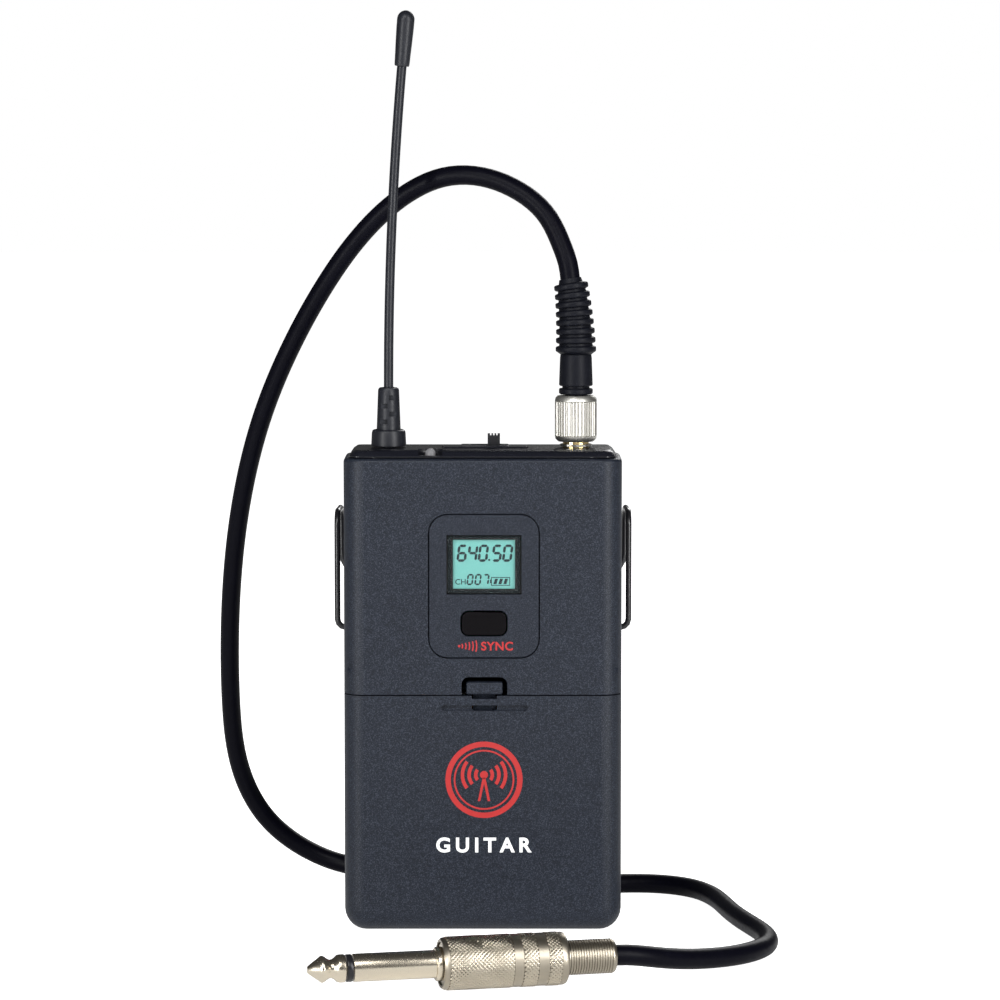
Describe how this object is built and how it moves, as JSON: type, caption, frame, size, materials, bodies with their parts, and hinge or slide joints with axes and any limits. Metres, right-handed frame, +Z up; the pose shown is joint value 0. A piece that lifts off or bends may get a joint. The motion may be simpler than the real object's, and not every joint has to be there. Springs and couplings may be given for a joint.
{
  "type": "wireless guitar transmitter",
  "caption": "Black belt-pack radio transmitter for a guitar, with display, slide switch, whip antenna, belt clip and a screw-on cord ending in a straight quarter-inch plug.",
  "frame": {"origin": "middle of the base that the pack stands on", "axes": "+X to the right as the front is seen, +Y towards the back, +Z up along the antenna"},
  "size_m": [0.1374, 0.1547, 0.222],
  "materials": {
    "case_plastic": "fine spark texture",
    "cap_plastic": "satin",
    "gloss_plastic": "gloss",
    "rubber": "satin",
    "cord_jacket": "satin",
    "clear_plastic": "clear",
    "display_glass": "lit teal",
    "white_plastic": "satin",
    "nickel": "polished nickel plate",
    "bright_nickel": "bright nickel plate",
    "brass": "turned",
    "steel": "plain",
    "black_wire": "black gloss",
    "board_green": "solder mask",
    "cell_jacket": "printed film"
  },
  "bodies": {
    "pack": {"front_shell": "case_plastic", "rear_shell": "case_plastic", "control_plate": "case_plastic", "battery_tray": "case_plastic", "bay_plate": "case_plastic", "top_cap": "cap_plastic", "switch_bezel": "cap_plastic", "ir_window": "gloss_plastic", "lcd_frame": "gloss_plastic", "ir_receiver": "gloss_plastic", "plug_insulator": "gloss_plastic", "antenna_collar": "rubber", "cable_connector": "rubber", "strain_relief": "rubber", "cord": "cord_jacket", "lcd_lens": "clear_plastic", "led_lens": "clear_plastic", "lcd_glass": "display_glass", "lcd_backlight": "white_plastic", "led": "white_plastic", "level_trimmer_body": "white_plastic", "plug_grip": "nickel", "plug_shell": "nickel", "plug_sleeve": "nickel", "plug_tip": "nickel", "jack_washer": "bright_nickel", "rf_shield": "bright_nickel", "antenna_socket": "brass", "input_jack": "brass", "case_screw_1": "steel", "case_screw_2": "steel", "case_screw_3": "steel", "case_screw_4": "steel", "board_screw_1": "steel", "board_screw_2": "steel", "cell_spring_left": "steel", "cell_spring_right": "steel", "contact_link": "steel", "contact_left": "steel", "contact_right": "steel", "switch_body": "steel", "main_board": "board_green", "trimmer_board": "board_green", "cell_left": "cell_jacket", "cell_right": "cell_jacket"},
    "door": {"battery_door": "case_plastic", "door_hinge_pin_left": "steel", "door_hinge_pin_right": "steel"},
    "latch": {"door_latch": "case_plastic"},
    "clip": {"belt_clip": "black_wire"},
    "switch": {"switch_knob": "gloss_plastic"},
    "trimmer": {"level_trimmer_rotor": "brass"},
    "ring": {"coupling_ring": "bright_nickel"},
    "antenna_boot": {"antenna_boot": "rubber"},
    "antenna_whip": {"antenna_whip": "rubber", "antenna_tip": "rubber"}
  },
  "joints": [
    {"name": "battery_door_hinge", "type": "hinge", "parent": "pack", "child": "door", "pos_m": [0, -0.0078, 0.0042], "axis": [1, 0, 0], "range_deg": [0, 85]},
    {"name": "latch_press", "type": "slide", "parent": "door", "child": "latch", "axis": [0, 1, 0], "range_m": [0, 0.0012], "stiffness_N_per_m": 400, "springref_m": -0.0005},
    {"name": "belt_clip_swing", "type": "hinge", "parent": "pack", "child": "clip", "pos_m": [0, 0.004, 0.0724], "axis": [1, 0, 0], "range_deg": [0, 12], "stiffness_Nm_per_rad": 1.2, "springref_deg": -2.86},
    {"name": "power_switch", "type": "slide", "parent": "pack", "child": "switch", "axis": [1, 0, 0], "range_m": [-0.004, 0]},
    {"name": "level_trimmer_turn", "type": "hinge", "parent": "pack", "child": "trimmer", "pos_m": [0.0172, -0.003, 0.04], "axis": [0, 1, 0], "range_deg": [-135, 135]},
    {"name": "coupling_ring_turn", "type": "hinge", "parent": "pack", "child": "ring", "pos_m": [0.0225, 0, 0.1238], "axis": [0, 0, 1], "continuous": true},
    {"name": "antenna_base_flex", "type": "hinge", "parent": "pack", "child": "antenna_boot", "pos_m": [-0.0228, 0, 0.1208], "axis": [0, 1, 0], "range_deg": [-15, 15], "stiffness_Nm_per_rad": 0.3},
    {"name": "antenna_whip_flex", "type": "hinge", "parent": "antenna_boot", "child": "antenna_whip", "pos_m": [-0.0228, 0, 0.1313], "axis": [1, 0, 0], "range_deg": [-6, 15], "stiffness_Nm_per_rad": 0.2}
  ]
}
